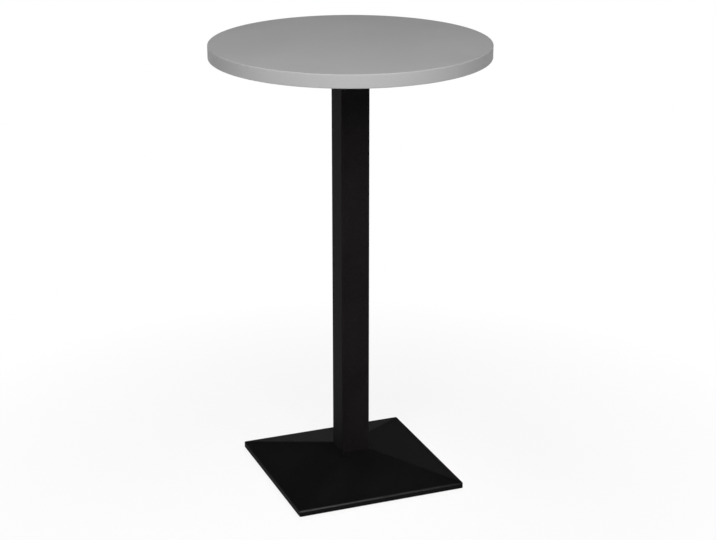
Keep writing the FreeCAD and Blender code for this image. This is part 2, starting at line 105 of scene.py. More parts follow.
class Piece:
    """One piece on the bench, and the moves that model it."""

    def __init__(self, name: str, thing: bpy.types.Object) -> None:
        """Takes an object in hand and names it."""
        self.thing = thing
        thing.name = name

    @classmethod
    def added(cls, name: str, primitive: Callable[..., Any], **settings: Any) -> "Piece":
        """Starts from a primitive, with its place and size in its mesh.

        Args:
            name: the piece's name.
            primitive: the operator that adds it.
            settings: the operator's settings.

        Returns:
            The piece.
        """
        put_down()
        primitive(**settings)
        bpy.ops.object.transform_apply(location=True, rotation=False, scale=True)
        return cls(name, bpy.context.object)

    @classmethod
    def drawn(cls, name: str, points: Sequence[Point]) -> "Piece":
        """Draws an open line in the XZ plane by extruding one point from place to place.

        Args:
            name: the piece's name.
            points: (radius, height) of each point of the line.

        Returns:
            The piece, which has edges and no faces.
        """
        piece = cls.added(name, bpy.ops.mesh.primitive_plane_add, size=MM)
        with piece.editing():
            bpy.ops.mesh.merge(type="CENTER")
            bpy.ops.transform.translate(value=(points[0][0], 0, points[0][1]))
            for (radius, height), (next_radius, next_height) in zip(points, points[1:]):
                step = (next_radius - radius, 0, next_height - height)
                bpy.ops.mesh.extrude_region_move(TRANSFORM_OT_translate={"value": step})
        return piece

    @classmethod
    def turned(cls, name: str, points: Sequence[Point], steps: Turn) -> "Piece":
        """Turns a profile about the Z axis into a closed piece.

        Args:
            name: the piece's name.
            points: (radius, height) of each point, from axis to axis or back to the first point.
            steps: the number of flats round the piece.

        Returns:
            The piece.
        """
        piece = cls.drawn(name, points)
        with piece.editing():
            bpy.ops.mesh.spin(steps=steps.value, angle=math.tau, center=(0, 0, 0), axis=(0, 0, 1))
        return piece.closed()

    @classmethod
    def of_node(cls, node: str, name: str) -> "Piece":
        """Copies a node's solid as one closed mesh with whole flat faces.

        Args:
            node: the node's name.
            name: the piece's name.

        Returns:
            The piece, which is free to be changed.
        """
        piece = cls(name, bpy.data.objects.new(name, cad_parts[node].data.copy()))
        bpy.context.scene.collection.objects.link(piece.thing)
        piece.thing.data.materials.clear()
        piece.take()
        bpy.ops.mesh.customdata_custom_splitnormals_clear()
        with piece.editing():
            bpy.ops.mesh.remove_doubles(threshold=MERGE_GAP)
            bpy.ops.mesh.select_all(action="SELECT")
            bpy.ops.mesh.dissolve_limited(angle_limit=FLAT_ANGLE)
        return piece

    def take(self) -> None:
        """Selects the piece alone and makes it active."""
        put_down()
        bpy.context.view_layer.objects.active = self.thing
        self.thing.select_set(True)

    def scrap(self) -> None:
        """Removes the piece, which is used up."""
        bpy.data.objects.remove(self.thing)

    @contextmanager
    def editing(self, pick: Pick = Pick.POINTS) -> Iterator[None]:
        """Opens the piece in edit mode with all of it selected, and closes it again.

        Args:
            pick: what is selected.

        Returns:
            The context in which it is open.
        """
        self.take()
        bpy.ops.object.mode_set(mode="EDIT")
        bpy.ops.mesh.select_mode(type=pick.value)
        bpy.ops.mesh.select_all(action="SELECT")
        yield
        bpy.ops.object.mode_set(mode="OBJECT")

    @contextmanager
    def picking(self, pick: Pick, test: Callable[[Any], bool]) -> Iterator[None]:
        """Opens the piece in edit mode with the edges or faces selected that pass a test.

        Args:
            pick: whether edges or faces are selected.
            test: says of an edge or a face whether it is selected.

        Returns:
            The context in which it is open.
        """
        with self.editing(pick):
            bpy.ops.mesh.select_all(action="DESELECT")
        mesh = self.thing.data
        for item in mesh.edges if pick is Pick.EDGES else mesh.polygons:
            item.select = test(item)
        bpy.ops.object.mode_set(mode="EDIT")
        yield
        bpy.ops.object.mode_set(mode="OBJECT")

    def edges_where(self, test: Callable[[Vector, Vector], bool]) -> set[int]:
        """Finds the edges whose two ends pass a test."""
        mesh = self.thing.data
        return {e.index for e in mesh.edges if test(*(mesh.vertices[index].co for index in e.vertices))}

    def edges_at(self, height: float) -> set[int]:
        """Finds the edges that lie level at a height."""
        return self.edges_where(lambda a, b: max(abs(a.z - height), abs(b.z - height)) < LEVEL_GAP)

    def sharp_edges(self, hollow: bool = False, angle: float = SHARP_ANGLE) -> set[int]:
        """Finds the sharp edges of the closed piece.

        Args:
            hollow: whether inner corners are meant, and not outer edges.
            angle: the least turn between an edge's two faces.

        Returns:
            The edges' indexes.
        """
        mesh = self.thing.data
        beside: dict[tuple[int, int], list[tuple[Vector, Vector]]] = {}
        for face in mesh.polygons:
            ring = [mesh.loops[index] for index in face.loop_indices]
            for here, there in zip(ring, [*ring[1:], ring[0]]):
                way = mesh.vertices[there.vertex_index].co - mesh.vertices[here.vertex_index].co
                beside.setdefault(mesh.edges[here.edge_index].key, []).append((face.normal, way))
        found = set()
        for edge in mesh.edges:
            (first, way), (second, _) = beside[edge.key]
            outer = first.cross(second).dot(way) > 0
            if first.angle(second) > angle and outer != hollow:
                found.add(edge.index)
        return found

    def broken(self, edges: set[int], width: float, steps: int = BREAK_STEPS) -> None:
        """Rounds chosen edges.

        Args:
            edges: the edges' indexes.
            width: how far the rounding reaches from the edge.
            steps: the number of flats across the rounding.
        """
        with self.picking(Pick.EDGES, lambda edge: edge.index in edges):
            bpy.ops.mesh.bevel(
                offset=width,
                segments=steps,
                affect="EDGES",
                clamp_overlap=False,
                loop_slide=False,
                miter_outer="ARC",
            )
            bpy.ops.mesh.select_all(action="SELECT")
            bpy.ops.mesh.remove_doubles(threshold=MERGE_GAP)

    def closed(self) -> "Piece":
        """Merges points that lie on each other and turns all faces outwards.

        Returns:
            The piece itself.
        """
        with self.editing():
            bpy.ops.mesh.remove_doubles(threshold=MERGE_GAP)
            bpy.ops.mesh.select_all(action="SELECT")
            bpy.ops.mesh.normals_make_consistent(inside=False)
        return self

    def trimmed(self, height: float, keep_above: bool) -> None:
        """Cuts the piece at a level plane and closes the cut.

        Args:
            height: the plane's height.
            keep_above: whether the upper or the lower part stays.
        """
        with self.editing():
            bpy.ops.mesh.bisect(
                plane_co=(0, 0, height),
                plane_no=(0, 0, 1),
                use_fill=True,
                clear_inner=keep_above,
                clear_outer=not keep_above,
                threshold=CUT_GAP,
            )

    def apply(self, kind: str, **settings: Any) -> None:
        """Adds a modifier with its settings and applies it.

        Args:
            kind: the modifier's type.
            settings: the modifier's properties and their values.
        """
        self.take()
        modifier = self.thing.modifiers.new(kind.lower(), kind)
        for key, value in settings.items():
            setattr(modifier, key, value)
        bpy.ops.object.modifier_apply(modifier=modifier.name)

    def joined(self, other: "Piece", join: Join) -> None:
        """Joins another piece to this one, and uses the other up.

        Args:
            other: the other piece.
            join: what is left of the two.
        """
        self.apply("BOOLEAN", operation=join.value, solver="EXACT", object=other.thing)
        other.scrap()
        self.closed()

    def smoothed(self) -> "Piece":
        """Shades the piece smooth across soft edges, with its flat faces kept flat.

        Returns:
            The piece itself.
        """
        self.take()
        bpy.ops.object.shade_smooth_by_angle(angle=SMOOTH_ANGLE)
        self.apply("WEIGHTED_NORMAL", keep_sharp=True, weight=FACE_WEIGHT)
        return self

    def copied(self, name: str, shift: Vector) -> "Piece":
        """Copies the piece to another place, with a mesh of its own.

        Args:
            name: the copy's name.
            shift: how far the copy's mesh is moved.

        Returns:
            The copy.
        """
        self.take()
        bpy.ops.object.duplicate()
        copy = Piece(name, bpy.context.object)
        with copy.editing():
            bpy.ops.transform.translate(value=shift)
        return copy


def arc(centre: Point, radius: float, start: float, end: float, steps: int) -> list[Point]:
    """Points of a round stretch of a profile, from a start to an end in degrees from outwards towards up."""
    turns = [math.radians(start + (end - start) * step / steps) for step in range(steps + 1)]
    return [(centre[0] + radius * math.cos(t), centre[1] + radius * math.sin(t)) for t in turns]


@dataclass(frozen=True)
class Thread:
    """A screw thread: its pitch, its depth, and the shares of the pitch that a flank and the crest take.

    The relief keeps its skin off the skin of the bar that it is joined to, and the spare turns are cut off.
    """

    pitch: float
    depth: float
    flank_share: float = 0.42
    crest_share: float = 0.1
    relief: float = 0.05 * MM
    spare_turns: int = 2

    def core(self, radius: float) -> float:
        """The radius of the plain core inside a thread on a bar of a given radius."""
        return radius - self.depth - 2 * self.relief

    def cut(self, name: str, radius: float, low: float, high: float) -> Piece:
        """Winds a bar with a right-hand thread about the Z axis between two heights.

        Args:
            name: the bar's name.
            radius: the radius of the bar that it is cut on.
            low: the lower end's height.
            high: the upper end's height.

        Returns:
            The closed bar.
        """
        top = radius - self.relief
        root = top - self.depth
        start = low - self.pitch
        crest = self.flank_share + self.crest_share
        shares = ((root, 0.0), (top, self.flank_share), (top, crest), (root, crest + self.flank_share))
        line = [(at, start + share * self.pitch) for at, share in shares]
        bar = Piece.drawn(name, [*line, (root, start + self.pitch)])
        bar.apply(
            "SCREW",
            axis="Z",
            angle=math.tau,
            screw_offset=self.pitch,
            iterations=math.ceil((high - low) / self.pitch) + self.spare_turns,
            steps=Turn.SMALL.value,
            render_steps=Turn.SMALL.value,
        )
        bar.closed()
        bar.trimmed(low, keep_above=True)
        bar.trimmed(high, keep_above=False)
        return bar.closed()


class NodeDesk:
    """Places nodes in one node tree and wires them."""

    FAMILY = "ShaderNode"
    MIX_SHARE = 0
    MIX_COLOURS = (6, 7)
    MIX_RESULT = 2

    def __init__(self, tree: bpy.types.NodeTree) -> None:
        """Starts on an emptied tree."""
        self.tree = tree
        tree.nodes.clear()

    def add(self, kind: str, inputs: Optional[dict[Any, Any]] = None, **settings: Any) -> bpy.types.Node:
        """Adds a node, with its settings, and fills or wires its inputs.

        Args:
            kind: the node's type, without its family.
            inputs: by input name or number, a plain value or the output socket to wire from.
            settings: the node's properties and their values.

        Returns:
            The node.
        """
        node = self.tree.nodes.new(self.FAMILY + kind)
        for key, value in settings.items():
            setattr(node, key, value)
        for key, value in (inputs or {}).items():
            self.feed(node.inputs[key], value)
        return node

    def feed(self, socket: Socket, value: Any) -> None:
        """Sets an input to a plain value, or wires it to an output.

        Args:
            socket: the input.
            value: a number, a vector, a colour without its alpha, or the output.
        """
        if isinstance(value, Socket):
            self.tree.links.new(value, socket)
        elif socket.type == "RGBA":
            socket.default_value = (*value, 1.0)
        else:
            socket.default_value = value

    def math(self, operation: str, first: Any, second: Any = 0.0) -> Socket:
        """Works out one operation on two values and returns the result."""
        return self.add("Math", {0: first, 1: second}, operation=operation).outputs[0]

    def spread(self, value: Any, low: float, high: float, to_low: float, to_high: float) -> Socket:
        """Maps a value from one range to another, held at its ends, and returns the result."""
        ends = {"Value": value, "From Min": low, "From Max": high, "To Min": to_low, "To Max": to_high}
        return self.add("MapRange", ends).outputs["Result"]

    def blend(self, share: Any, *colours: Any) -> Socket:
        """Mixes two colours by a share of the second and returns the result."""
        inputs = {self.MIX_SHARE: share, **dict(zip(self.MIX_COLOURS, colours))}
        return self.add("Mix", inputs, data_type="RGBA").outputs[self.MIX_RESULT]

    def layer(self, share: Any, under: bpy.types.Node, over: bpy.types.Node) -> bpy.types.Node:
        """Mixes two shaders by a share of the second and returns the node."""
        return self.add("MixShader", {0: share, 1: under.outputs[0], 2: over.outputs[0]})

    def parts(self, place: Socket) -> Any:
        """Takes a place apart and returns the outputs X, Y and Z."""
        return self.add("SeparateXYZ", {"Vector": place}).outputs


class Effects:
    """Shader effects that several finishes share, each built once as a node group."""

    GRAIN = {"Detail": 3.0, "Roughness": 0.55}
    FINE_GRAIN = {"Detail": 2.0, "Roughness": 0.5}
    FINE_TIMES = 5.3
    CLOUD = {"Detail": 2.0, "Roughness": 0.6, "Distortion": 0.6}
    CLOUD_ENDS = (0.3, 0.7)
    DRIFT = {"Detail": 1.0}
    DRIFT_REACH = (0.06, 0.06, 0.06)
    SPOTS = {"Detail": 2.0}
    SPOT_ENDS = (0.54, 0.62)

    @staticmethod
    def group(name: str, inputs: Sequence[str], output: str) -> tuple[NodeDesk, Any, Socket]:
        """Starts a node group that follows the place on a piece.

        Args:
            name: the group's name.
            inputs: the names of its inputs after the place, all of them values.
            output: the name of its output, a value.

        Returns:
            The desk that works on it, its inputs to wire from, and its output to wire to.
        """
        tree = bpy.data.node_groups.new(name, "ShaderNodeTree")
        tree.interface.new_socket(name="Vector", in_out="INPUT", socket_type="NodeSocketVector")
        for key in inputs:
            tree.interface.new_socket(name=key, in_out="INPUT", socket_type="NodeSocketFloat")
        tree.interface.new_socket(name=output, in_out="OUTPUT", socket_type="NodeSocketFloat")
        desk = NodeDesk(tree)
        given = tree.nodes.new("NodeGroupInput")
        result = tree.nodes.new("NodeGroupOutput")
        return desk, given.outputs, result.inputs[output]

    @staticmethod
    @cache
    def grain() -> bpy.types.NodeTree:
        """The fine grain of a pressed, sprayed or moulded skin: two sizes of noise laid over each other.

        Returns:
            The group.
        """
        desk, given, result = Effects.group("skin_grain", ("Scale", "Fine_Share"), "Grain")
        place, scale, share = given["Vector"], given["Scale"], given["Fine_Share"]
        coarse = desk.add("TexNoise", {"Vector": place, "Scale": scale, **Effects.GRAIN})
        fine_scale = desk.math("MULTIPLY", scale, Effects.FINE_TIMES)
        fine = desk.add("TexNoise", {"Vector": place, "Scale": fine_scale, **Effects.FINE_GRAIN})
        kept = desk.math("MULTIPLY", coarse.outputs["Fac"], desk.math("SUBTRACT", 1.0, share))
        desk.feed(result, desk.math("ADD", kept, desk.math("MULTIPLY", fine.outputs["Fac"], share)))
        return desk.tree

    @staticmethod
    @cache
    def clouds() -> bpy.types.NodeTree:
        """Slow, soft patches, as handling and uneven coating leave them.

        Returns:
            The group.
        """
        desk, given, result = Effects.group("slow_clouds", ("Scale",), "Cloud")
        inputs = {"Vector": given["Vector"], "Scale": given["Scale"], **Effects.CLOUD}
        noise = desk.add("TexNoise", inputs).outputs["Fac"]
        desk.feed(result, desk.spread(noise, *Effects.CLOUD_ENDS, 0.0, 1.0))
        return desk.tree

    @staticmethod
    @cache
    def scuffs() -> bpy.types.NodeTree:
        """Sparse hairline scuffs: the borders of large bent cells, kept only here and there.

        Returns:
            The group.
        """
        desk, given, result = Effects.group("hairline_scuffs", ("Scale", "Width"), "Scuff")
        at = {"Vector": given["Vector"], "Scale": given["Scale"]}
        drift = desk.add("TexNoise", {**at, **Effects.DRIFT}).outputs["Color"]
        bend = {0: drift, 1: Effects.DRIFT_REACH, 2: given["Vector"]}
        bent = desk.add("VectorMath", bend, operation="MULTIPLY_ADD").outputs["Vector"]
        cells = desk.add("TexVoronoi", {**at, "Vector": bent}, feature="DISTANCE_TO_EDGE")
        near = desk.math("DIVIDE", cells.outputs["Distance"], given["Width"])
        line = desk.spread(near, 0.0, 1.0, 1.0, 0.0)
        spots = desk.add("TexNoise", {**at, **Effects.SPOTS}).outputs["Fac"]
        kept = desk.spread(spots, *Effects.SPOT_ENDS, 0.0, 1.0)
        desk.feed(result, desk.math("MULTIPLY", line, kept))
        return desk.tree


def grey(level: float) -> Colour:
    """A neutral colour."""
    return (level, level, level)


class Skin(NodeDesk):
    """The desk of a finish, with the place on the piece, the grain and the slow patches at hand."""

    def __init__(self, tree: bpy.types.NodeTree, finish: "Finish") -> None:
        """Starts on an emptied tree with what every finish is mixed from.

        Args:
            tree: the material's node tree.
            finish: the finish that gives the sizes of grain and patches.
        """
        super().__init__(tree)
        self.place = self.add("TexCoord").outputs["Object"]
        self.grain = self.effect(Effects.grain(), Scale=finish.grain_scale, Fine_Share=finish.fine_share)
        self.cloud = self.effect(Effects.clouds(), Scale=finish.cloud_scale)

    def effect(self, tree: bpy.types.NodeTree, **inputs: Any) -> Socket:
        """Places a shared effect on the piece, with its inputs, and returns its result."""
        return self.add("Group", {"Vector": self.place, **inputs}, node_tree=tree).outputs[0]


@dataclass(frozen=True, kw_only=True)
class Finish:
    """What every finish has: its slot in the record, two close tones, its gloss and its skin."""

    slot: str
    tone: Colour
    second_tone: Colour
    roughness: float
    roughness_swing: float
    specular: float
    grain_scale: float
    grain_height: float
    fine_share: float = 0.4
    grain_low: float = 0.45
    grain_high: float = 0.65
    cloud_scale: float = 5.0
    cloud_share: float = 0.1
    metallic: float = 0.0
    polish_roughness: float = 0.3
    scuff_scale: float = 0.0
    scuff_width: float = 0.004
    scuff_share: float = 0.0
    scuff_tone: Colour = grey(0.5)

    def scuffed(self, skin: Skin, plain: Socket) -> Socket:
        """Draws the scuffs over a colour, where the finish has any.

        Args:
            skin: what the finish is mixed from.
            plain: the colour without scuffs.

        Returns:
            The colour.
        """
        if not self.scuff_share:
            return plain
        line = skin.effect(Effects.scuffs(), Scale=self.scuff_scale, Width=self.scuff_width)
        return skin.blend(skin.math("MULTIPLY", line, self.scuff_share), plain, self.scuff_tone)

    def mottle(self, skin: Skin) -> Socket:
        """What the two tones follow, which is the grain unless a finish adds to it."""
        return skin.grain

    def colour(self, skin: Skin) -> Socket:
        """Mixes the two tones by the mottle and a little of the slow patches.

        Args:
            skin: what the finish is mixed from.

        Returns:
            The colour.
        """
        level = skin.math("ADD", self.mottle(skin), skin.math("MULTIPLY", skin.cloud, self.cloud_share))
        share = skin.spread(level, self.grain_low, self.grain_high, 0.0, 1.0)
        return skin.blend(share, self.tone, self.second_tone)

    def relief(self, skin: Skin) -> Socket:
        """The height that the bump follows, which is the grain's unless a finish adds to it."""
        return skin.grain

    def polish(self, skin: Skin) -> Any:
        """How far rubbing has polished the skin, which it hasn't unless a finish says so."""
        return 0.0

    @cache
    def material(self) -> bpy.types.Material:
        """Builds the finish's material, once for all its pieces.

        Returns:
            The material.
        """
        made = bpy.data.materials.new(self.slot + "_finish")
        made.use_nodes = True
        skin = Skin(made.node_tree, self)
        low, high = self.roughness - self.roughness_swing, self.roughness + self.roughness_swing
        height = {"Height": self.relief(skin), "Distance": self.grain_height, "Strength": 1.0}
        inputs = {
            "Base Color": self.scuffed(skin, self.colour(skin)),
            "Roughness": skin.spread(skin.cloud, 0.0, 1.0, low, high),
            "Normal": skin.add("Bump", height).outputs["Normal"],
            "Specular IOR Level": self.specular,
            "Metallic": self.metallic,
            "Coat Weight": self.polish(skin),
            "Coat Roughness": self.polish_roughness,
        }
        shader = skin.add("BsdfPrincipled", inputs)
        skin.add("OutputMaterial", {"Surface": shader.outputs["BSDF"]})
        return made

    def dress(self, thing: bpy.types.Object) -> None:
        """Gives an object this finish alone."""
        thing.data.materials.clear()
        thing.data.materials.append(self.material())


@dataclass(frozen=True, kw_only=True)
class BandFinish(Finish):
    """The edge band's plastic: faint lines of the extrusion round the rim, and the butt joint of its ends."""

    line_scale: float = 900.0
    line_detail: float = 2.0
    line_roughness: float = 0.6
    line_share: float = 0.25
    line_tone_share: float = 0.5
    joint_turn: float = math.radians(128.0)
    joint_half_width: float = 0.12 * MM
    joint_tone: Colour = grey(0.16)
    # Heights, tone and shares of the painted highlight along the band's upper arris
    highlight_low: float = 1147.0 * MM
    highlight_high: float = 1149.0 * MM
    highlight_tone: Colour = grey(0.42)
    highlight_share: float = 0.5
    highlight_base: float = 0.5

    def lines(self, skin: Skin) -> Socket:
        """Fine level lines that change with height alone.

        Args:
            skin: what the finish is mixed from.

        Returns:
            The lines' height.
        """
        inputs = {
            "W": skin.parts(skin.place)["Z"],
            "Scale": self.line_scale,
            "Detail": self.line_detail,
            "Roughness": self.line_roughness,
        }
        return skin.add("TexNoise", inputs, noise_dimensions="1D").outputs["Fac"]

    def joint(self, skin: Skin) -> Socket:
        """Marks the upright joint where the band's two ends meet.

        Args:
            skin: what the finish is mixed from.

        Returns:
            The joint's mask.
        """
        turned = skin.add("Mapping", {"Vector": skin.place, "Rotation": (0, 0, -self.joint_turn)})
        parts = skin.parts(turned.outputs["Vector"])
        near = skin.math("LESS_THAN", skin.math("ABSOLUTE", parts["Y"]), self.joint_half_width)
        return skin.math("MULTIPLY", near, skin.math("GREATER_THAN", parts["X"], 0.0))

    def mottle(self, skin: Skin) -> Socket:
        """Weighs the grain and the lines together."""
        return skin.math("MULTIPLY", skin.math("ADD", skin.grain, self.lines(skin)), self.line_tone_share)

    def colour(self, skin: Skin) -> Socket:
        """Paints a highlight along the upper arris and darkens the joint.

        Args:
            skin: what the finish is mixed from.

        Returns:
            The colour.
        """
        # Painted highlight: the colour is lighter along the upper arris, set by height alone, with the grain
        # running through it
        worn = skin.spread(skin.parts(skin.place)["Z"], self.highlight_low, self.highlight_high, 0.0, self.highlight_share)
        painted_highlight = skin.math("MULTIPLY", worn, skin.math("ADD", skin.grain, self.highlight_base))
        whole = skin.blend(painted_highlight, super().colour(skin), self.highlight_tone)
        return skin.blend(self.joint(skin), whole, self.joint_tone)

    def relief(self, skin: Skin) -> Socket:
        """Lays the extrusion's lines over the grain."""
        return skin.math("ADD", skin.grain, skin.math("MULTIPLY", self.lines(skin), self.line_share))


@dataclass(frozen=True, kw_only=True)
class ZincFinish(Finish):
    """Zinc-plated steel, whose passivation tints it in slow patches."""

    tint: Colour = (0.66, 0.62, 0.52)
    tint_share: float = 0.35

    def colour(self, skin: Skin) -> Socket:
        """Mixes the two tones by the grain and tints the patches."""
        share = skin.math("MULTIPLY", skin.cloud, self.tint_share)
        return skin.blend(share, super().colour(skin), self.tint)


@dataclass(frozen=True, kw_only=True)
class ChipFinish(Finish):
    """Raw chipboard: flat chips of several browns."""

    chip_scale: float = 260.0
    chip_flatness: float = 2.5
    dark_chip: Colour = (0.20, 0.12, 0.06)
    dark_limit: float = 0.85

    def colour(self, skin: Skin) -> Socket:
        """Gives each chip a tone of its own.

        Args:
            skin: what the finish is mixed from.

        Returns:
            The colour.
        """
        flat = skin.add("Mapping", {"Vector": skin.place, "Scale": (1.0, 1.0, self.chip_flatness)})
        inputs = {"Vector": flat.outputs["Vector"], "Scale": self.chip_scale}
        chips = skin.add("TexVoronoi", inputs).outputs["Color"]
        chip = skin.add("SeparateColor", {"Color": chips}).outputs
        plain = skin.blend(chip["Red"], self.tone, self.second_tone)
        return skin.blend(skin.math("GREATER_THAN", chip["Green"], self.dark_limit), plain, self.dark_chip)


@dataclass(frozen=True, kw_only=True)
class PowderFinish(Finish):
    """Black powder coat, scuffed here and there."""

    roughness_swing: float = 0.03
    scuff_scale: float = 16.0
    scuff_share: float = 0.25
    scuff_tone: Colour = grey(0.03)


@dataclass(frozen=True, kw_only=True)
class CastingFinish(PowderFinish):
    """Powder coat on a casting, which shoes have polished along the front of the base's upper rim."""

    rim_reach: float = 225.0 * MM
    polish_width: float = 3.2 * MM
    polish_fade: float = 1.0 * MM
    polish_low: float = 15.0 * MM
    polish_most: float = 0.86
    polish_least: float = 0.2

    def polish(self, skin: Skin) -> Any:
        """Marks the front rim's rounded arris, which is worn most at its left end.

        Args:
            skin: what the finish is mixed from.

        Returns:
            The polish's mask.
        """
        parts = skin.parts(skin.place)
        inner = self.polish_width - self.rim_reach
        near = skin.spread(parts["Y"], inner, inner + self.polish_fade, 1.0, 0.0)
        rise = skin.spread(parts["Z"], self.polish_low, self.polish_low + self.polish_fade, 0.0, 1.0)
        worn = skin.spread(parts["X"], -self.rim_reach, self.rim_reach, self.polish_most, self.polish_least)
        return skin.math("MULTIPLY", skin.math("MULTIPLY", near, rise), worn)


class Finishes:
    """The table's finishes."""

    LAMINATE = Finish(
        slot="grey_laminate",
        tone=grey(0.342), second_tone=grey(0.39),
        roughness=0.68, roughness_swing=0.04, specular=0.22,
        grain_scale=700.0, grain_height=0.25 * MM,
        scuff_scale=14.0, scuff_share=0.3, scuff_tone=grey(0.46),
    )
    BACKING = Finish(
        slot="grey_backing",
        tone=grey(0.285), second_tone=grey(0.315),
        roughness=0.66, roughness_swing=0.05, specular=0.3,
        grain_scale=420.0, grain_height=0.25 * MM,
    )
    BAND = BandFinish(
        slot="grey_edge",
        tone=grey(0.346), second_tone=grey(0.374),
        roughness=0.46, roughness_swing=0.05, specular=0.2,
        grain_scale=600.0, grain_height=0.08 * MM,
    )
    BOARD = ChipFinish(
        slot="core_board",
        tone=(0.42, 0.29, 0.16), second_tone=(0.56, 0.42, 0.26),
        roughness=0.85, roughness_swing=0.05, specular=0.2,
        grain_scale=500.0, grain_height=0.2 * MM,
    )
    ZINC = ZincFinish(
        slot="zinc_steel",
        tone=(0.56, 0.57, 0.59), second_tone=(0.68, 0.69, 0.70),
        roughness=0.34, roughness_swing=0.08, specular=0.5, metallic=1.0,
        grain_scale=1500.0, grain_height=0.05 * MM, cloud_scale=60.0,
    )
    NYLON = Finish(
        slot="black_nylon",
        tone=(0.018, 0.018, 0.019), second_tone=(0.028, 0.028, 0.029),
        roughness=0.52, roughness_swing=0.06, specular=0.4,
        grain_scale=1400.0, grain_height=0.15 * MM, cloud_scale=40.0,
    )
    TUBE = PowderFinish(
        slot="black_column",
        tone=(0.003, 0.0024, 0.0026), second_tone=(0.0102, 0.0086, 0.0092),
        roughness=0.74, specular=0.06,
        grain_scale=600.0, grain_height=0.15 * MM,
    )
    CASTING = CastingFinish(
        slot="black_casting",
        tone=(0.0017, 0.0016, 0.0016), second_tone=(0.007, 0.0064, 0.0066),
        roughness=0.66, specular=0.036,
        grain_scale=500.0, grain_height=0.35 * MM,
    )


@dataclass
class SubAssembly:
    """What every sub-assembly does with a finished piece."""

    body: str

    def hand_over(self, piece: Piece, finish: Finish, node: str) -> None:
        """Puts a piece on its body, hides the node that it stands for, and gives it its finish.

        Args:
            piece: the finished piece.
            finish: its finish.
            node: the node that it replaces.
        """
        thing = piece.thing
        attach(thing, self.body)
        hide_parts(node)
        finish.dress(thing)
        LOG.info("%s: %d faces on %s", thing.name, len(thing.data.polygons), self.body)

    def keep(self, node: str, finish: Finish) -> None:
        """Keeps a node's own solid in sight and gives it a finish."""
        finish.dress(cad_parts[node])
        LOG.info("%s: kept from the frame", node)


@dataclass
class RoundTop(SubAssembly):
    """The laminated top: core board, two laminates and the edge band."""

    radius: float
    underside: float
    surface: float
    board_radius: float
    laminate_low: float
    band_thickness: float = 3.0 * MM
    band_round: float = 2.5 * MM
    band_round_steps: int = 8
    laminate_break: float = 0.2 * MM

    @classmethod
    def from_frame(cls) -> "RoundTop":
        """Takes the top's sizes from its nodes.

        Returns:
            The top.
        """
        band_low, band_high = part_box("edge_band")
        sheet_low, sheet_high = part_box("top_laminate")
        return cls("table", band_high.x, band_low.z, band_high.z, sheet_high.x, sheet_low.z)

    def edge_band(self) -> Piece:
        """Turns the band with its two round arrises.

        Returns:
            The band.
        """
        inner = self.radius - self.band_thickness
        bend = self.radius - self.band_round
        low, high = self.underside + self.band_round, self.surface - self.band_round
        lower = arc((bend, low), self.band_round, -RIGHT_ANGLE, 0, self.band_round_steps)
        upper = arc((bend, high), self.band_round, 0, RIGHT_ANGLE, self.band_round_steps)
        start = (inner, self.underside)
        profile = [start, *lower, *upper, (inner, self.surface), start]
        return Piece.turned("edge_band_turned", profile, Turn.LARGE).smoothed()

    def top_sheet(self) -> Piece:
        """Makes the upper laminate with its filed edge.

        Returns:
            The laminate.
        """
        depth = self.surface - self.laminate_low
        sheet = Piece.added(
            "top_laminate_sheet",
            bpy.ops.mesh.primitive_cylinder_add,
            vertices=Turn.LARGE.value,
            radius=self.board_radius,
            depth=depth,
            location=(0, 0, self.laminate_low + depth / 2),
        )
        sheet.broken(sheet.edges_at(self.surface), self.laminate_break)
        return sheet.smoothed()

    def build(self) -> None:
        """Models, dresses and hands over the top's pieces."""
        self.hand_over(self.edge_band(), Finishes.BAND, "edge_band")
        self.hand_over(self.top_sheet(), Finishes.LAMINATE, "top_laminate")
        self.keep("underside_laminate", Finishes.BACKING)
        self.keep("top_core", Finishes.BOARD)


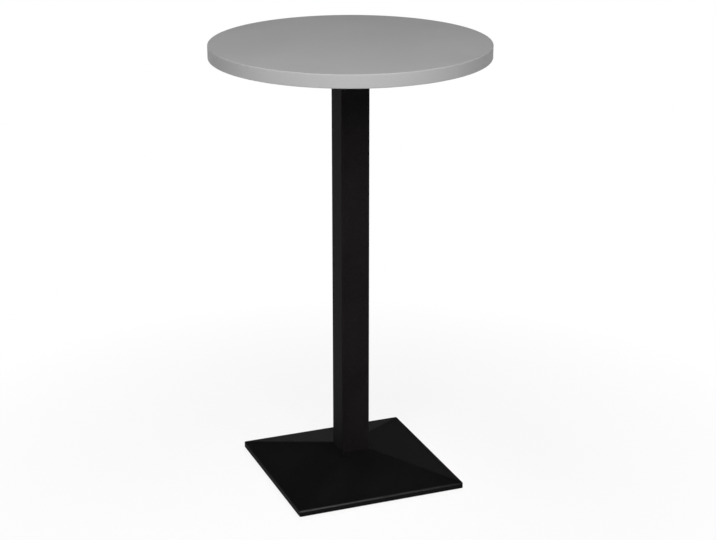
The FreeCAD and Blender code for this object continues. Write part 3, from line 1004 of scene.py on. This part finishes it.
@dataclass
class Spider(SubAssembly):
    """The casting under the top and the screws that hold the top to it."""

    hub_low: float
    head_low: float
    tip: float
    outer_radius: float
    arms: int = 4
    inner_radius: float = 105.0 * MM
    head_radius: float = 4.8 * MM
    head_height: float = 2.6 * MM
    shank_radius: float = 2.5 * MM
    point_length: float = 5.0 * MM
    point_radius: float = 0.4 * MM
    smooth_neck: float = 6.0 * MM
    recess_width: float = 1.1 * MM
    recess_length: float = 4.6 * MM
    recess_depth: float = 1.9 * MM
    recess_taper_share: float = 0.55
    cast_edge: float = 0.8 * MM
    cast_fillet: float = 1.5 * MM
    thread: Thread = Thread(pitch=2.2 * MM, depth=0.75 * MM, flank_share=0.2, crest_share=0.06)

    @classmethod
    def from_frame(cls) -> "Spider":
        """Takes the hub's height from the column, and the screws' heights and reach from their node."""
        low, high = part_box("top_screws")
        return cls("table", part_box("column_tube")[1].z, low.z, high.z, high.x - cls.head_radius)

    def casting(self) -> Piece:
        """Rounds the edges of the arms' walls and the inner corners of their channels.

        Returns:
            The casting.
        """
        casting = Piece.of_node("spider", "spider_casting")
        low, roof = self.hub_low - LEVEL_GAP, self.head_low - LEVEL_GAP
        walls = casting.edges_where(lambda a, b: low < min(a.z, b.z) and max(a.z, b.z) < roof)
        casting.broken(walls & casting.sharp_edges(), self.cast_edge)
        corners = casting.edges_at(self.head_low)
        casting.broken(corners & casting.sharp_edges(hollow=True), self.cast_fillet)
        return casting.smoothed()

    def recess_cutter(self) -> Piece:
        """Makes one blade of the driver's cross, which narrows inwards and stands out of the head as far.

        Returns:
            The blade, along X.
        """
        blade = Piece.added(
            "recess_blade",
            bpy.ops.mesh.primitive_cube_add,
            size=1.0,
            location=(0, 0, self.head_low),
            scale=(self.recess_length, self.recess_width, 2 * self.recess_depth),
        )
        with blade.picking(Pick.FACES, lambda face: face.normal.z > LEVEL_SHARE):
            bpy.ops.transform.resize(value=(self.recess_taper_share, self.recess_taper_share, 1.0))
        return blade

    def screw(self) -> Piece:
        """Makes one wood screw on the axis: countersunk head, cross recess, neck, thread and point.

        Returns:
            The screw.
        """
        neck_top = self.head_low + self.smooth_neck
        point_low = self.tip - self.point_length
        core = self.thread.core(self.shank_radius)
        profile = [
            (0, self.head_low),
            (self.head_radius, self.head_low),
            (self.shank_radius, self.head_low + self.head_height),
            (self.shank_radius, neck_top),
            (core, neck_top + self.thread.depth),
            (core, point_low),
            (self.point_radius, self.tip),
            (0, self.tip),
        ]
        screw = Piece.turned("top_screw", profile, Turn.SMALL)
        relief = self.thread.relief
        thread = self.thread.cut("screw_thread", self.shank_radius, neck_top - relief, point_low + relief)
        screw.joined(thread, Join.BOTH)
        for quarter in (0.0, math.pi / 2):
            blade = self.recess_cutter()
            with blade.editing():
                bpy.ops.transform.rotate(value=quarter, orient_axis="Z", center_override=(0, 0, 0))
            screw.joined(blade, Join.CUT)
        return screw.smoothed()

    def build(self) -> None:
        """Models, dresses and hands over the casting and two screws for each of its arms."""
        self.hand_over(self.casting(), Finishes.CASTING, "spider")
        first = self.screw()
        for arm in range(self.arms):
            turn = math.tau * arm / self.arms
            for row, radius in (("inner", self.inner_radius), ("outer", self.outer_radius)):
                shift = Vector((radius * math.cos(turn), radius * math.sin(turn), 0.0))
                screw = first.copied(f"top_screw_{row}_{arm + 1}", shift)
                self.hand_over(screw, Finishes.ZINC, "top_screws")
        first.scrap()


@dataclass
class Column(SubAssembly):
    """The square tube between base and spider."""

    side: float
    foot: float
    head: float
    wall: float = 2.0 * MM
    corner_radius: float = 5.0 * MM
    corner_steps: int = 8
    end_break: float = 0.3 * MM

    @classmethod
    def from_frame(cls) -> "Column":
        """Takes the tube's size and place from its node."""
        low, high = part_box("column_tube")
        return cls("table", high.x - low.x, low.z, high.z)

    @staticmethod
    def is_end(face: bpy.types.MeshPolygon) -> bool:
        """Says of a face whether it closes an end of the tube."""
        return abs(face.normal.z) > LEVEL_SHARE

    def tube(self) -> Piece:
        """Makes the tube from a block: round corners first, then the hollow.

        Returns:
            The tube.
        """
        length = self.head - self.foot
        tube = Piece.added(
            "column_tube_drawn",
            bpy.ops.mesh.primitive_cube_add,
            size=1.0,
            location=(0, 0, self.foot + length / 2),
            scale=(self.side, self.side, length),
        )
        upright = tube.edges_where(lambda a, b: abs(a.z - b.z) > length / 2)
        tube.broken(upright, self.corner_radius, self.corner_steps)
        with tube.picking(Pick.FACES, self.is_end):
            bpy.ops.mesh.bevel(offset=self.end_break, segments=BREAK_STEPS, affect="EDGES")
        with tube.picking(Pick.FACES, self.is_end):
            bpy.ops.mesh.inset(thickness=self.wall - self.end_break)
            bpy.ops.mesh.bridge_edge_loops()
        return tube.closed().smoothed()

    def build(self) -> None:
        """Models, dresses and hands over the tube."""
        self.hand_over(self.tube(), Finishes.TUBE, "column_tube")


@dataclass
class PyramidBase(SubAssembly):
    """The hollow cast base."""

    low: float
    rib_setback: float = 3.0 * MM
    centre_boss: float = 32.0 * MM
    foot_boss: float = 10.9 * MM
    roof: float = 57.8 * MM
    rim_edge: float = 0.6 * MM
    rib_edge: float = 1.2 * MM
    boss_edge: float = 1.5 * MM
    foot_edge: float = 0.7 * MM
    roof_fillet: float = 1.5 * MM

    @classmethod
    def from_frame(cls) -> "PyramidBase":
        """Takes the rim's lower edge from the casting's node."""
        return cls("table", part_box("base_casting")[0].z)

    def casting(self) -> Piece:
        """Rounds the edges of rim, ribs and bosses, and the corner under the seat.

        Returns:
            The casting.
        """
        casting = Piece.of_node("base_casting", "base_casting_coated")
        for height, width, hollow in (
            (self.low, self.rim_edge, False),
            (self.low + self.rib_setback, self.rib_edge, False),
            (self.centre_boss, self.boss_edge, False),
            (self.foot_boss, self.foot_edge, False),
            (self.roof, self.roof_fillet, True),
        ):
            casting.broken(casting.edges_at(height) & casting.sharp_edges(hollow), width)
        return casting.smoothed()

    def build(self) -> None:
        """Models, dresses and hands over the casting."""
        self.hand_over(self.casting(), Finishes.CASTING, "base_casting")


@dataclass
class TieRod(SubAssembly):
    """The rod inside the column, with its nuts and washers."""

    low: float
    high: float
    radius: float
    threaded_length: float = 45.0 * MM
    end_chamfer: float = 1.2 * MM
    overlap: float = 1.0 * MM
    edge_break: float = 0.25 * MM
    square_angle: float = math.radians(80.0)
    thread: Thread = Thread(pitch=1.75 * MM, depth=1.0 * MM)
    small_parts: tuple[str, ...] = ("upper_nut", "upper_washer", "lower_nut", "spring_washer", "broad_washer")

    @classmethod
    def from_frame(cls) -> "TieRod":
        """Takes the rod's size and place from its node."""
        low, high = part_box("tie_rod")
        return cls("table", low.z, high.z, high.x)

    def chamfer_blank(self, low: float, high: float) -> Piece:
        """Turns a bar with chamfered ends that a thread is cut down to.

        Args:
            low: the lower end's height.
            high: the upper end's height.

        Returns:
            The bar.
        """
        end = self.radius - self.end_chamfer
        wide = self.radius + self.overlap
        slope = self.end_chamfer + self.overlap
        profile = [(0, low), (end, low), (wide, low + slope), (wide, high - slope), (end, high), (0, high)]
        return Piece.turned("rod_blank", profile, Turn.SMALL)

    def rod(self) -> Piece:
        """Makes the plain rod and adds its threaded ends.

        Returns:
            The rod.
        """
        core = self.thread.core(self.radius)
        spare = self.overlap
        plain_low = self.low + self.threaded_length
        plain_high = self.high - self.threaded_length
        profile = [
            (0, plain_low - spare),
            (core, plain_low - spare),
            (self.radius, plain_low),
            (self.radius, plain_high),
            (core, plain_high + spare),
            (0, plain_high + spare),
        ]
        rod = Piece.turned("tie_rod_threaded", profile, Turn.SMALL)
        for low, high in ((self.low, plain_low + spare), (plain_high - spare, self.high)):
            end = self.thread.cut("rod_thread", self.radius, low - spare, high + spare)
            end.joined(self.chamfer_blank(low, high), Join.SHARED)
            rod.joined(end, Join.BOTH)
        return rod.smoothed()

    def build(self) -> None:
        """Models, dresses and hands over the rod, its nuts and its washers."""
        self.hand_over(self.rod(), Finishes.ZINC, "tie_rod")
        for node in self.small_parts:
            piece = Piece.of_node(node, node + "_plated")
            piece.broken(piece.sharp_edges(angle=self.square_angle), self.edge_break)
            self.hand_over(piece.smoothed(), Finishes.ZINC, node)


@dataclass
class LevellingFeet:
    """The four screw feet, each with a pad and a stud on bodies of their own."""

    corners: tuple[str, ...] = ("front_left", "front_right", "back_right", "back_left")
    thread: Thread = Thread(pitch=1.25 * MM, depth=0.68 * MM)
    stud_radius: float = 4.0 * MM
    collar: float = 0.4 * MM
    hex_top: float = 10.7 * MM
    pad_shoulder: float = 13.0 * MM
    pad_wall: float = 2.5 * MM
    pad_floor: float = 2.0 * MM
    pad_round: float = 0.8 * MM
    pad_round_steps: int = 4
    pad_break: float = 0.4 * MM
    socket_mouth: float = 4.2 * MM
    socket_radius: float = 6.7 * MM
    socket_lip: float = 4.8 * MM
    ring_radii: tuple[float, ...] = (4.0 * MM, 7.5 * MM, 11.0 * MM, 14.0 * MM)
    ring_half_width: float = 0.6 * MM
    ring_floor_share: float = 0.6
    ring_depth: float = 0.7 * MM

    @staticmethod
    def place(corner: str) -> Vector:
        """The middle of a corner's pad on the floor."""
        low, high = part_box(f"foot_pad_{corner}")
        return Vector(((low.x + high.x) / 2, (low.y + high.y) / 2, 0.0))

    def stud(self, corner: str) -> Piece:
        """Makes a stud from its node's head and hexagon, with a threaded shank.

        Args:
            corner: the corner whose node it is made from.

        Returns:
            The stud, on the Z axis.
        """
        node = f"foot_stud_{corner}"
        stud = Piece.of_node(node, "stud")
        with stud.editing():
            bpy.ops.transform.translate(value=-self.place(corner))
        stud.trimmed(self.hex_top + self.collar, keep_above=False)
        shank = self.thread.cut("stud_thread", self.stud_radius, self.hex_top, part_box(node)[1].z)
        stud.joined(shank, Join.BOTH)
        return stud.smoothed()

    def pad(self, corner: str) -> Piece:
        """Turns a pad: grip rings underneath, a round edge, and the socket of the stud's head.

        Args:
            corner: the corner whose node gives its size.

        Returns:
            The pad, on the Z axis.
        """
        low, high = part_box(f"foot_pad_{corner}")
        radius, top = (high.x - low.x) / 2, high.z
        sole = [(0.0, 0.0)]
        wide, narrow = self.ring_half_width, self.ring_half_width * self.ring_floor_share
        for ring in self.ring_radii:
            sole += [(ring - wide, 0.0), (ring - narrow, self.ring_depth)]
            sole += [(ring + narrow, self.ring_depth), (ring + wide, 0.0)]
        bend = (radius - self.pad_round, self.pad_round)
        edge = arc(bend, self.pad_round, -RIGHT_ANGLE, 0, self.pad_round_steps)
        wall = [
            (radius, self.pad_wall - self.pad_break),
            (radius - self.pad_break, self.pad_wall + self.pad_break),
            (self.pad_shoulder + self.pad_break, top - self.pad_break),
            (self.pad_shoulder - self.pad_break, top),
        ]
        socket = [
            (self.socket_mouth, top),
            (self.socket_mouth, self.socket_lip),
            (self.socket_radius, self.socket_lip),
            (self.socket_radius, self.pad_floor),
            (0.0, self.pad_floor),
        ]
        return Piece.turned("pad", [*sole, *edge, *wall, *socket], Turn.MIDDLE).smoothed()

    def build(self) -> None:
        """Models one foot, copies it to each corner, and dresses and hands over its pieces."""
        stud, pad = self.stud(self.corners[0]), self.pad(self.corners[0])
        for corner in self.corners:
            for kind, model, finish in (("stud", stud, Finishes.ZINC), ("pad", pad, Finishes.NYLON)):
                piece = model.copied(f"{kind}_{corner}_made", self.place(corner))
                SubAssembly(f"{kind}_{corner}").hand_over(piece, finish, f"foot_{kind}_{corner}")
        stud.scrap()
        pad.scrap()


@dataclass(frozen=True)
class Softbox:
    """A rectangular studio light that points at the table: angles in degrees, lengths in metres."""

    name: str
    azimuth: float
    elevation: float
    distance: float
    width: float
    height: float
    watts: float
    aim: tuple[float, float, float] = (0.0, 0.0, 0.75)
    spread: float = 180.0

    def light(self) -> None:
        """Sets the light up."""
        lamp = bpy.data.lights.new(self.name, "AREA")
        lamp.shape = "RECTANGLE"
        lamp.size = self.width
        lamp.size_y = self.height
        lamp.energy = self.watts
        lamp.spread = math.radians(self.spread)
        turn, rise = math.radians(self.azimuth), math.radians(self.elevation)
        out = Vector((math.sin(turn) * math.cos(rise), -math.cos(turn) * math.cos(rise), math.sin(rise)))
        stand = bpy.data.objects.new(self.name, lamp)
        stand.location = Vector(self.aim) + out * self.distance
        stand.rotation_mode = "QUATERNION"
        stand.rotation_quaternion = (-out).to_track_quat("-Z", "Y")
        bpy.context.scene.collection.objects.link(stand)


@dataclass
class Studio:
    """The pale floor, the white backdrop, the lights and the camera."""

    floor_radius: float = 9.0
    floor_steps: int = 96
    floor_tone: Colour = grey(0.9)
    shadow_radius: float = 0.5
    white_radius: float = 1.3
    shadow_white_share: float = 0.84
    fill_strength: float = 0.15
    ceiling_tone: Colour = grey(0.05)
    backdrop_rise_share: float = 0.02
    ceiling_rise_share: float = 0.22
    lens: float = 88.54
    sensor: float = 36.0
    camera_azimuth: float = -21.473
    camera_distance: float = 4.2565
    camera_side: float = 0.0187
    camera_height: float = 2.0483
    camera_pitch: float = 19.284
    lights: ClassVar[tuple[Softbox, ...]] = (
        Softbox("key_box", azimuth=-21.6, elevation=40.0, distance=3.3, width=2.6, height=1.9, watts=114.0),
        Softbox(
            "back_left_box", azimuth=-155.0, elevation=56.0, distance=3.4, width=1.4, height=1.6, watts=9.5,
        ),
        Softbox(
            "back_right_box", azimuth=112.0, elevation=56.0, distance=3.4, width=1.4, height=1.6, watts=5.5,
        ),
        Softbox(
            "rim_strip", azimuth=26.0, elevation=40.4, distance=2.0, width=1.0, height=0.6, watts=0.5,
            aim=(-0.2, -0.26, 0.0), spread=17.0,
        ),
    )

    @staticmethod
    def seen_directly(desk: NodeDesk) -> Socket:
        """Marks the rays that show the backdrop: straight ones, mirrored ones and those through glass.

        Args:
            desk: the desk of the tree.

        Returns:
            The rays' mask.
        """
        rays = desk.add("LightPath").outputs
        mirrored = desk.math("MAXIMUM", rays["Is Camera Ray"], rays["Is Glossy Ray"])
        return desk.math("MAXIMUM", mirrored, rays["Is Transmission Ray"])

    def floor(self) -> None:
        """Lays the floor: pale and shaded round the table, and white further out."""
        circle = {"vertices": self.floor_steps, "radius": self.floor_radius, "fill_type": "NGON"}
        floor = Piece.added("floor", bpy.ops.mesh.primitive_circle_add, **circle).thing
        finish = bpy.data.materials.new("floor_finish")
        finish.use_nodes = True
        desk = NodeDesk(finish.node_tree)
        place = desk.add("TexCoord").outputs["Object"]
        reach = desk.add("VectorMath", {0: place}, operation="LENGTH").outputs["Value"]
        white = desk.spread(reach, self.shadow_radius, self.white_radius, self.shadow_white_share, 1.0)
        share = desk.math("MULTIPLY", white, self.seen_directly(desk))
        matt = desk.add("BsdfDiffuse", {"Color": self.floor_tone})
        glow = desk.add("Emission", {"Color": WHITE, "Strength": 1.0})
        behind = desk.add("NewGeometry").outputs["Backfacing"]
        clear = desk.add("BsdfTransparent")
        both = desk.layer(behind, desk.layer(share, matt, glow), clear)
        desk.add("OutputMaterial", {"Surface": both.outputs[0]})
        floor.data.materials.append(finish)

    def backdrop(self) -> None:
        """Makes the surroundings: white all round, dark overhead in mirrored rays, and an even fill light."""
        world = bpy.data.worlds.new("studio")
        world.use_nodes = True
        bpy.context.scene.world = world
        desk = NodeDesk(world.node_tree)
        rise = desk.parts(desk.add("TexCoord").outputs["Generated"])["Z"]
        height = desk.spread(rise, self.backdrop_rise_share, self.ceiling_rise_share, 0.0, 1.0)
        mirrored = desk.add("LightPath").outputs["Is Glossy Ray"]
        shown = desk.blend(desk.math("MULTIPLY", height, mirrored), WHITE, self.ceiling_tone)
        seen = desk.add("Background", {"Color": shown, "Strength": 1.0})
        fill = desk.add("Background", {"Color": WHITE, "Strength": self.fill_strength})
        both = desk.layer(self.seen_directly(desk), fill, seen)
        desk.add("OutputWorld", {"Surface": both.outputs[0]})

    def camera(self) -> None:
        """Sets the camera where the photograph was taken from."""
        data = bpy.data.cameras.new("camera")
        data.lens = self.lens
        data.sensor_width = self.sensor
        turn = math.radians(self.camera_azimuth)
        forward = Vector((-math.sin(turn), math.cos(turn), 0.0))
        aside = Vector((math.cos(turn), math.sin(turn), 0.0))
        camera = bpy.data.objects.new("camera", data)
        camera.location = aside * self.camera_side - forward * self.camera_distance
        camera.location.z = self.camera_height
        camera.rotation_euler = (math.radians(RIGHT_ANGLE - self.camera_pitch), 0.0, turn)
        bpy.context.scene.collection.objects.link(camera)
        bpy.context.scene.camera = camera

    def build(self) -> None:
        """Sets up floor, backdrop, lights and camera."""
        self.floor()
        self.backdrop()
        for box in self.lights:
            box.light()
        self.camera()
        bpy.context.scene.view_settings.view_transform = "Standard"
        LOG.info("studio: %d lights", len(self.lights))


def main() -> None:
    """Builds the table's sub-assemblies in order, then the studio."""
    logging.basicConfig(level=logging.INFO, format="%(name)s: %(message)s")
    for maker in (RoundTop, Spider, Column, PyramidBase, TieRod):
        maker.from_frame().build()
    LevellingFeet().build()
    Studio().build()
    put_down()


if __name__ == "__main__":
    main()
